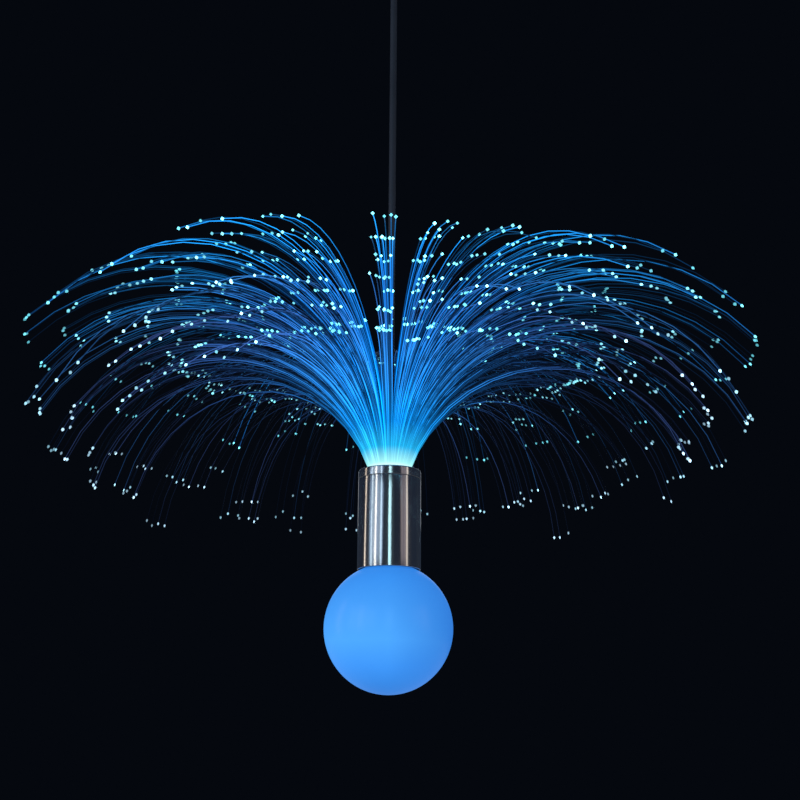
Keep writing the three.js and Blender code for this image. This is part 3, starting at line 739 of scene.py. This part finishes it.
def buildFibreTree():
    tree = bpy.data.node_groups.new("fibreFountain", "GeometryNodeTree")
    tree.interface.new_socket("Geometry", in_out="INPUT", socket_type="NodeSocketGeometry")
    tree.interface.new_socket("Geometry", in_out="OUTPUT", socket_type="NodeSocketGeometry")
    for name, value in fibreSet.items():
        kind = "NodeSocketInt" if isinstance(value, int) else "NodeSocketFloat"
        socket = tree.interface.new_socket(name, in_out="INPUT", socket_type=kind)
        socket.default_value = value
    entry = tree.nodes.new("NodeGroupInput")
    size = {name: Wire(tree, entry.outputs[name]) for name in fibreSet}
    wire = Wire(tree)

    # one straight line for each fibre, then every point is set by its number
    stepCount = fibreSteps + tipSteps + 1
    line = wire.node("GeometryNodeCurvePrimitiveLine", inputs={"End": (0, 0, 1)})
    line = wire.node("GeometryNodeResampleCurve", inputs={"Curve": line, "Count": stepCount})
    dots = wire.node("GeometryNodePoints", inputs={"Count": size["Fibres"]})
    many = wire.node("GeometryNodeInstanceOnPoints", inputs={"Points": dots, "Instance": line})
    many = wire.node("GeometryNodeRealizeInstances", inputs={"Geometry": many})

    index = wire.node("GeometryNodeInputIndex")
    number = wire.maths("FLOOR", (index + 0.5) / stepCount)
    step = index - number * stepCount

    def chance(key, what):
        low, high, seed = fibreChance[what]
        seed = size["Quarter"] * quarterSeed + (fibreSeed + seed)
        return wire.node("FunctionNodeRandomValue", {"data_type": "FLOAT"}, {
            2: low, 3: high, "ID": key, "Seed": seed}, out=1)

    # where each fibre stands, and the sheet of equal fibres that it belongs to
    spread = (number + 0.5) / size["Fibres"]
    innerSquare = size["Inner ring"] * size["Inner ring"]
    outerSquare = size["Outer ring"] * size["Outer ring"]
    standing = wire.maths("SQRT", lerp(innerSquare, outerSquare, spread))
    sector = 2 * math.pi / fibreQuarters
    margin = wire.maths("ARCSINE", size["Side margin"] / standing)
    golden = wire.maths("FRACT", number * goldenShare)
    turn = margin + (sector - 2 * margin) * golden
    bearing = turn + size["Quarter"] * sector + math.radians(fountainTurn)
    tuftNumber = wire.maths("FLOOR", golden * tuftCount)
    sheet = wire.maths("FLOOR", spread * size["Sheets"])
    tuftKey = tuftNumber + sheet * sheetKey
    tuftTurn = (tuftNumber + 0.5) * (sector / tuftCount) + chance(tuftNumber, "tuftTurn")
    reach = ((sheet + 0.5) / size["Sheets"]) ** size["Reach power"]

    # its length, its lean at the mouth and the arc that it hangs in
    tier = wire.maths("FLOORED_MODULO", sheet * tierSkip, tierCount) / (tierCount - 1)
    shortest = lerp(size["Inner shortest"], size["Outer shortest"], reach)
    longest = lerp(size["Inner longest"], size["Outer longest"], reach)
    facing = wire.maths("COSINE", bearing + math.pi / 2).atLeast(0.0) ** 2.0
    cut = facing * size["Front cut"] * tier + size["Front outer cut"] * reach
    length = lerp(shortest, longest, tier) * (1 - facing * cut)
    length = length * chance(number, "length") * (1 + reach * reach * chance(tuftKey, "tuftLength"))
    lean = lerp(size["Inner lean"], size["Outer lean"], reach)
    lean = (lean + chance(tuftKey, "tuftLean") + chance(number, "lean")) * math.radians(1)
    bend = lerp(size["Inner bend"], size["Outer bend"], reach) * (1 - facing * size["Front bend"])
    bend = bend * chance(tuftKey, "tuftBend") * chance(number, "bend")

    # even steps along the fibre, then short ones round the bright tip
    shaft = (step / fibreSteps).atMost(1.0) * (length - size["Tip length"])
    tipShare = (step - fibreSteps).atLeast(0.0) / tipSteps
    run = shaft + tipShare * size["Tip length"]
    bent = run / bend
    radius = standing + bend * (wire.maths("COSINE", lean) - wire.maths("COSINE", lean + bent))
    height = bend * (wire.maths("SINE", lean + bent) - wire.maths("SINE", lean))
    pulled = (run / size["Inner shortest"]).atMost(1.0)
    pulled = pulled * pulled * (3 - 2 * pulled)
    angle = bearing + (tuftTurn - turn) * size["Tuft pull"] * pulled
    point = wire.node("ShaderNodeCombineXYZ", inputs={
        0: radius * wire.maths("COSINE", angle),
        1: radius * wire.maths("SINE", angle),
        2: height + heights["fibreFace"] - size["Root depth"],
    })
    grown = wire.node("GeometryNodeSetPosition", inputs={"Geometry": many, "Position": point})

    # a bead at the tip, and what the material reads
    swell = wire.maths("SINE", tipShare * math.pi)
    swell = swell * (1 + facing * size["Front bead"]) * chance(number, "bead")
    thick = size["Fibre radius"] * (1 + swell)
    lit = wire.maths("COSINE", bearing + (math.pi / 2 + litTurn)) * 0.5 + 0.5
    tone = chance(number, "tone") * chance(tuftKey, "tuftTone")
    inTip = (tipShare * tipSteps).atMost(1.0)
    # front feeds the material's painted glow on fibres that face the front
    told = {"run": run, "reach": reach, "tone": tone, "front": facing, "lit": lit, "tip": inTip}
    for name, value in told.items():
        grown = wire.node("GeometryNodeStoreNamedAttribute", {"data_type": "FLOAT", "domain": "POINT"}, {
            "Geometry": grown, "Name": name, "Value": value})
    ring = wire.node("GeometryNodeCurvePrimitiveCircle", inputs={
        "Resolution": fibreSides, "Radius": 1.0})
    tubes = wire.node("GeometryNodeCurveToMesh", inputs={
        "Curve": grown, "Profile Curve": ring, "Scale": thick, "Fill Caps": True})
    tubes = wire.node("GeometryNodeSetShadeSmooth", inputs={"Geometry": tubes})
    both = tree.nodes.new("GeometryNodeJoinGeometry")
    tree.links.new(tubes.socket, both.inputs[0])
    tree.links.new(entry.outputs["Geometry"], both.inputs[0])
    whole = wire.node("GeometryNodeRealizeInstances", inputs={"Geometry": Wire(tree, both.outputs[0])})
    whole = wire.node("GeometryNodeSetMaterial", inputs={
        "Geometry": whole, "Material": finish["lit_fibre"]})
    leave = tree.nodes.new("NodeGroupOutput")
    tree.links.new(whole.socket, leave.inputs[0])
    return tree


sliceSet = {"depth": 0.010, "sideGap": 0.00015, "steps": 14}


# A quarter of the potted disc that the fibres stand in
def makeSlice():
    inner, outer, steps = shared["stemBore"], shared["bundleRadius"], sliceSet["steps"]
    shape = bmesh.new()
    outline = []
    for radius, order in ((outer, range(steps + 1)), (inner, range(steps, -1, -1))):
        edge = math.asin(sliceSet["sideGap"] / radius)
        for i in order:
            angle = lerp(edge, math.pi / 2 - edge, i / steps)
            outline.append((radius * math.cos(angle), radius * math.sin(angle)))
    high = heights["fibreFace"]
    top = [shape.verts.new((x, y, high)) for x, y in outline]
    low = [shape.verts.new((x, y, high - sliceSet["depth"])) for x, y in outline]
    count = len(outline)
    for i in range(count):
        after = (i + 1) % count
        shape.faces.new((low[i], low[after], top[after], top[i]))
    for i in range(steps):
        back = count - 1 - i
        shape.faces.new((top[i], top[i + 1], top[back - 1], top[back]))
        shape.faces.new((low[i + 1], low[i], low[back], low[back - 1]))
    bmesh.ops.recalc_face_normals(shape, faces=shape.faces)
    return meshOf(shape, "slice")


def makeFibres():
    tree = buildFibreTree()
    sockets = {s.name: s.identifier for s in tree.interface.items_tree if s.in_out == "INPUT"}
    potting = makeSlice()
    faces = 0
    for k in range(fibreQuarters):
        mesh = potting.copy()
        mesh.transform(turnBy(360 * k / fibreQuarters + fountainTurn))
        base = linked("fibreBase", mesh)
        modifier = base.modifiers.new("fountain", "NODES")
        modifier.node_group = tree
        for name, value in fibreSet.items():
            modifier[sockets[name]] = k if name == "Quarter" else value
        grown = finishedMesh(base)
        faces += len(grown.polygons)
        place(grown, f"fibres_{k + 1}", "lit_fibre", "pendant", f"fibre_bundle_{k + 1}", smooth=0)
    print("fibres ready:", faces, "faces")


makeFibres()


# Housing: brushed tube and cap ring
housingSet = {
    "radius": 0.030,
    "wall": 0.0012,
    "tubeEdge": 0.0005,
    "capHeight": 0.0085,
    "capEdge": 0.0014,
    "seamEdge": 0.0003,
    "mouthEdge": 0.0004,
    "spigotDepth": 0.004,
    "spigotWall": 0.0016,
    "sides": 160,
}


def makeTube(capLow):
    radius, wall, edge = housingSet["radius"], housingSet["wall"], housingSet["tubeEdge"]
    low, high, half = heights["housingBottom"], capLow - shared["gap"], edge / 2
    profile = corner(radius - wall + half, low + half, half, 180, 270, 3)
    profile += corner(radius - edge, low + edge, edge, 270, 360, 4)
    profile += corner(radius - half, high - half, half, 0, 90, 3)
    profile += [(radius - wall, high)]
    place(turned(profile, housingSet["sides"]), "steel_tube", "brushed_steel", "pendant", "housing_tube")


def makeCap(capLow):
    radius, mouth, gap = housingSet["radius"], heights["mouth"], shared["gap"]
    bore = shared["bundleRadius"] + gap + shared["ferruleWall"] + gap
    fit = radius - housingSet["wall"] - 2 * gap
    capEdge, seam, lip = housingSet["capEdge"], housingSet["seamEdge"], housingSet["mouthEdge"]
    wall, depth = housingSet["spigotWall"], housingSet["spigotDepth"]
    profile = [(fit, capLow - depth), (fit, capLow)]
    profile += corner(radius - seam, capLow + seam, seam, 270, 360, 3)
    profile += corner(radius - capEdge, mouth - capEdge, capEdge, 0, 90, 8)
    profile += corner(bore + lip, mouth - lip, lip, 90, 180, 3)
    profile += [(bore, capLow), (fit - wall, capLow - wall), (fit - wall, capLow - depth)]
    place(turned(profile, housingSet["sides"]), "cap_ring", "brushed_steel", "pendant", "top_cap")


makeTube(heights["mouth"] - housingSet["capHeight"])
makeCap(heights["mouth"] - housingSet["capHeight"])
print("housing ready")


# Globe: opal shell with its neck
globeSet = {
    "wall": 0.0022,
    "neck": 0.022,
    "neckLength": 0.008,
    "lip": 0.0006,
    "outerSteps": 64,
    "innerSteps": 40,
    "sides": 128,
}


def makeGlobe():
    radius, wall, neck, lip = shared["globeRadius"], globeSet["wall"], globeSet["neck"], globeSet["lip"]
    inside = radius - wall
    outerTop = math.degrees(math.acos(neck / radius))
    innerTop = math.degrees(math.acos((neck - wall) / inside))
    neckTop = math.sqrt(radius ** 2 - neck ** 2) + globeSet["neckLength"]
    profile = [(0, -radius)] + corner(0, 0, radius, -90, outerTop, globeSet["outerSteps"])[1:]
    profile += corner(neck - lip, neckTop - lip, lip, 0, 90, 3)
    profile += [(neck - wall, neckTop)]
    profile += corner(0, 0, inside, innerTop, -90, globeSet["innerSteps"])[:-1] + [(0, -inside)]
    mesh = turned(profile, globeSet["sides"], heights["globeCentre"])
    place(mesh, "opal_globe", "milk_globe", "globe", "globe", smooth=50)


makeGlobe()
print("globe ready")


# Strain relief: tapers to its tip, with grooves that let it flex
reliefSet = {
    "foot": 0.0062,
    "tip": 0.0045,
    "length": 0.032,
    "grooves": 4,
    "grooveDepth": 0.0007,
    "grooveShape": ((0, 0), (0, 1), (0.5, 1), (0.5, 0)),  # along and in, in shares of pitch and depth
    "edge": 0.0005,
    "sides": 64,
}


def makeRelief():
    foot, tip, length = reliefSet["foot"], reliefSet["tip"], reliefSet["length"]
    pitch = length / (reliefSet["grooves"] + 1)
    profile = [(0, 0), (foot, 0)]
    for i in range(reliefSet["grooves"]):
        for along, deep in reliefSet["grooveShape"]:
            at = pitch * (0.5 + i + along)
            profile.append((lerp(foot, tip, at / length) - deep * reliefSet["grooveDepth"], at))
    profile += [(tip, length), (0, length)]
    mesh = turned(eased(profile, reliefSet["edge"]), reliefSet["sides"], heights["relief"])
    place(mesh, "relief", "seal_rubber", "pendant", "strain_relief", smooth=50)


# Gland nut: hexagon that draws in to the relief's foot, bored for the stem
glandSet = {
    "radius": 0.0069,
    "height": 0.009,
    "shoulderShare": 0.69,
    "stemInNut": 0.0063,
    "turn": 30,
    "edge": 0.0003,
    "sides": 6,
}


def makeGland():
    radius, high, low = glandSet["radius"], glandSet["height"], heights["glandNut"]
    shoulder = high * glandSet["shoulderShare"]
    profile = [(0, 0), (radius, 0), (radius, shoulder), (reliefSet["foot"], high), (0, high)]
    body = turned(eased(profile, glandSet["edge"]), glandSet["sides"], low)
    body.transform(turnBy(glandSet["turn"]))
    foot, end = (0, 0, low - shared["overrun"]), (0, 0, low + glandSet["stemInNut"])
    mesh = combined(body, [rodBetween(shared["stemBore"], foot, end)])
    place(mesh, "gland", "black_plastic", "pendant", "gland_nut", smooth=25)


# Ferrule: sleeve round the fibres, with the lip that their potting rests on
ferruleSet = {"seat": -0.6304, "low": -0.6477, "lip": 0.0016, "edge": 0.0005, "sides": 128}


def makeFerrule():
    bore = shared["bundleRadius"] + shared["gap"]
    outer = bore + shared["ferruleWall"]
    seat, low, lip, top = ferruleSet["seat"], ferruleSet["low"], ferruleSet["lip"], heights["fibreFace"]
    profile = [(bore - lip, seat - lip), (bore, seat - 2 * lip), (bore, low), (outer, low),
               (outer, top), (bore, top), (bore, seat), (bore - lip, seat)]
    mesh = turned(eased(profile, ferruleSet["edge"]), ferruleSet["sides"])
    place(mesh, "fibre_ferrule", "plain_steel", "pendant", "ferrule", smooth=50)


makeRelief()
makeGland()
makeFerrule()
print("fibre head ready")


# Collar on the globe's neck, with its thread
collarSet = {
    "bore": 0.0223,
    "radius": 0.0255,
    "low": -0.7133,
    "high": -0.7043,
    "lipRadius": 0.0198,
    "lipLow": -0.7059,
    "ridges": 2,
    "pitch": 0.0036,
    "firstRidge": 0.3,
    "threadDepth": 0.0009,
    # along and in, in shares of pitch and depth
    "ridgeShape": ((0, 1), (0.25, 0), (0.6, 0), (0.85, 1)),
    "edge": 0.0003,
    "sides": 128,
}


def makeCollar():
    bore, radius, deep = collarSet["bore"], collarSet["radius"], collarSet["threadDepth"]
    low, high = collarSet["low"], collarSet["high"]
    lipRadius, lipLow = collarSet["lipRadius"], collarSet["lipLow"]
    profile = [(bore, low), (radius - deep, low)]
    for i in range(collarSet["ridges"]):
        for along, inward in collarSet["ridgeShape"]:
            rise = collarSet["pitch"] * (i + collarSet["firstRidge"] + along)
            profile.append((radius - inward * deep, low + rise))
    profile += [(radius - deep, high), (lipRadius, high), (lipRadius, lipLow), (bore, lipLow)]
    mesh = turned(eased(profile, collarSet["edge"]), collarSet["sides"])
    place(mesh, "neck_collar", "pale_plastic", "globe", "globe_collar", smooth=50)


# Seal: lies on the globe's shoulder, two gaps above it
sealSet = {"inner": 0.0226, "outer": 0.0272, "top": -0.7136, "steps": 6, "edge": 0.0002, "sides": 128}


def makeSeal():
    inner, outer, top, steps = sealSet["inner"], sealSet["outer"], sealSet["top"], sealSet["steps"]
    profile = []
    for i in range(steps + 1):
        radius = lerp(inner, outer, i / steps)
        rise = math.sqrt(shared["globeRadius"] ** 2 - radius ** 2) + 2 * shared["gap"]
        profile.append((radius, heights["globeCentre"] + rise))
    profile += [(outer, top), (inner, top)]
    mesh = turned(eased(profile, sealSet["edge"], 2), sealSet["sides"])
    place(mesh, "shoulder_seal", "seal_rubber", "seal", "globe_seal", smooth=50)


makeCollar()
makeSeal()
print("globe neck ready")


# Ceiling plate: a boss for the hook and three countersunk screw holes
plateSet = {
    "radius": 0.030,
    "thickness": 0.0025,
    "edge": 0.0012,
    "boss": 0.0065,
    "bossDepth": 0.0035,
    "skin": 0.0011,
    "holes": 3,
    "holeRing": 0.022,
    "firstHole": 90,
    "hole": 0.0024,
    "sink": 0.0044,
    "sinkDepth": 0.002,
    "holeSides": 40,
    "ease": 0.0005,
    "sides": 128,
}


def makePlate():
    s, over = plateSet, shared["overrun"]
    radius, edge, sink, hole = s["radius"], s["edge"], s["sink"], s["hole"]
    low = -s["thickness"]
    boss = low - s["bossDepth"]
    profile = [(0, boss), (s["boss"] - edge, boss), (s["boss"], low), (radius - edge, low),
               (radius, low + edge), (radius, 0), (0, 0)]
    cutters = [rodBetween(shared["hookWire"] + shared["gap"], (0, 0, boss - over), (0, 0, -s["skin"]))]
    cone = [(0, low - over), (sink, low - over), (sink, low), (hole, low + s["sinkDepth"]),
            (hole, over), (0, over)]
    for i in range(s["holes"]):
        cutter = turned(cone, s["holeSides"])
        bearing = turnBy(360 * i / s["holes"] + s["firstHole"])
        cutter.transform(bearing @ Matrix.Translation((s["holeRing"], 0, 0)))
        cutters.append(cutter)
    mesh = combined(turned(eased(profile, s["ease"]), s["sides"]), cutters)
    place(mesh, "ceiling_plate", "brushed_steel", "ceiling", "hook_plate", smooth=30)


# Hook: straight shank, then a round that leaves its mouth open at the upper left
hookSet = {
    "centre": -0.019,
    "radius": 0.0065,
    "shank": (-0.0014, -0.0052, -0.0092, -0.0107),
    "round": ((0.62, 0.86), (0.95, 0.31), (0.97, -0.26), (0.71, -0.71),
              (0, -1), (-0.71, -0.71), (-1, 0)),
    "wireRoundness": 6,
    "knotSteps": 10,
}


def makeHook():
    centre, radius = hookSet["centre"], hookSet["radius"]
    route = [(0, z) for z in hookSet["shank"]]
    route += [(x * radius, centre + z * radius) for x, z in hookSet["round"]]
    data = bpy.data.curves.new("hook", "CURVE")
    data.dimensions = "3D"
    data.bevel_depth, data.bevel_resolution = shared["hookWire"], hookSet["wireRoundness"]
    data.resolution_u = hookSet["knotSteps"]
    data.use_fill_caps = True
    line = data.splines.new("BEZIER")
    line.bezier_points.add(len(route) - 1)
    for knot, (x, z) in zip(line.bezier_points, route):
        knot.co = (x, 0, z)
        knot.handle_left_type = knot.handle_right_type = "AUTO"
    mesh = finishedMesh(linked("hook", data))
    place(mesh, "open_hook", "plain_steel", "ceiling", "ceiling_hook", smooth=50)


ringSet = {"radius": 0.006, "centre": -0.02845}


def makeRing():
    mesh = torusOf(ringSet["radius"], shared["ringWire"])
    mesh.transform(Matrix.Translation((0, 0, ringSet["centre"])) @ turnBy(90, "Y"))
    place(mesh, "closed_ring", "plain_steel", "ring", "hang_ring", smooth=60)


# Grip: an eye over the barrel that two set screws clamp the cord in
gripSet = {
    "radius": 0.0065,
    "height": 0.016,
    "hold": 0.0093,
    "edge": 0.001,
    "eyeRadius": 0.005,
    "eyeCentre": -0.03665,
    "screwHeights": (0.00225, 0.00675),
    "holeEnd": 0.009,
    "ease": 0.0004,
    "sides": 72,
}


def makeGrip():
    s, bore, low = gripSet, shared["cordBore"], heights["gripBottom"]
    radius, high, hold, edge = s["radius"], s["height"], s["hold"], s["edge"]
    profile = [(bore, 0), (radius - edge, 0), (radius, edge), (radius, high - 2 * edge),
               (radius - 2 * edge, high), (0, high), (0, hold), (bore, hold)]
    eye = torusOf(s["eyeRadius"], shared["ringWire"])
    eye.transform(Matrix.Translation((0, 0, s["eyeCentre"])) @ turnBy(90, "X"))
    mesh = combined(turned(eased(profile, s["ease"]), s["sides"], low), [eye], "UNION")
    holes = [screwHoleAt(low + rise, s["holeEnd"]) for rise in s["screwHeights"]]
    return place(combined(mesh, holes), "eye_grip", "brass", "pendant", "cord_grip", smooth=35)


makePlate()
makeHook()
makeRing()
cordGrip = makeGrip()
print("ceiling fittings ready")


# Ceiling cup
cupSet = {
    "radius": 0.045,
    "depth": 0.058,
    "wall": 0.0012,
    "corner": 0.015,
    "hole": 0.0059,
    "holeEdge": 0.0003,
    "sides": 160,
}


def makeCup():
    radius, depth, wall, bend = cupSet["radius"], cupSet["depth"], cupSet["wall"], cupSet["corner"]
    hole, edge = cupSet["hole"], cupSet["holeEdge"]
    middle = (radius - bend, -depth + bend)
    profile = corner(radius - wall / 2, -wall / 2, wall / 2, 180, 0, 8)
    profile += corner(*middle, bend, 0, -90, 16)
    profile += corner(hole + edge, -depth + edge, edge, 270, 180, 3)
    profile += [(hole, -depth + wall)]
    profile += corner(*middle, bend - wall, -90, 0, 16)
    mesh = turned(profile, cupSet["sides"], heights["cupRim"])
    place(mesh, "canopy", "brushed_steel", "cup", "ceiling_cup", smooth=50)


# Bush: holds the cup on the cord with its set screw
bushSet = {
    "radius": 0.0075,
    "neck": 0.0056,
    "length": 0.013,
    "neckLength": 0.007,
    "top": -0.0673,
    "edge": 0.0015,
    "holeEnd": 0.0095,
    "ease": 0.0004,
    "sides": 72,
}


def makeBush():
    s, bore = bushSet, shared["cordBore"]
    radius, neck, length, edge, top = s["radius"], s["neck"], s["length"], s["edge"], s["top"]
    profile = [(bore, -length), (radius - edge, -length), (radius, -length + edge), (radius, 0),
               (neck, 0), (neck, s["neckLength"]), (bore, s["neckLength"])]
    body = turned(eased(profile, s["ease"]), s["sides"], top)
    mesh = combined(body, [screwHoleAt(top - length / 2, s["holeEnd"])])
    place(mesh, "bush", "black_plastic", "cup", "cup_bush", smooth=35)


makeCup()
makeBush()
print("ceiling cup ready")


# Cord: straight up from the strain relief into the grip
cordSet = {"diameter": 0.007, "points": 27, "roundness": 8}


def makeCord():
    data = bpy.data.curves.new("hanging_cord", "CURVE")
    data.dimensions = "3D"
    data.bevel_depth = cordSet["diameter"] / 2
    data.bevel_resolution = cordSet["roundness"]
    data.use_fill_caps = True
    line = data.splines.new("POLY")
    line.points.add(cordSet["points"] - 1)
    low, high = heights["cordBottom"], heights["cordTop"]
    for i, point in enumerate(line.points):
        point.co = (0, 0, lerp(low, high, i / (cordSet["points"] - 1)), 1)
    line.use_smooth = True
    data.materials.append(finish["cord_jacket"])
    cord = linked("hanging_cord", data)
    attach(cord, "pendant")
    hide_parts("cord")


makeCord()
print("cord ready")
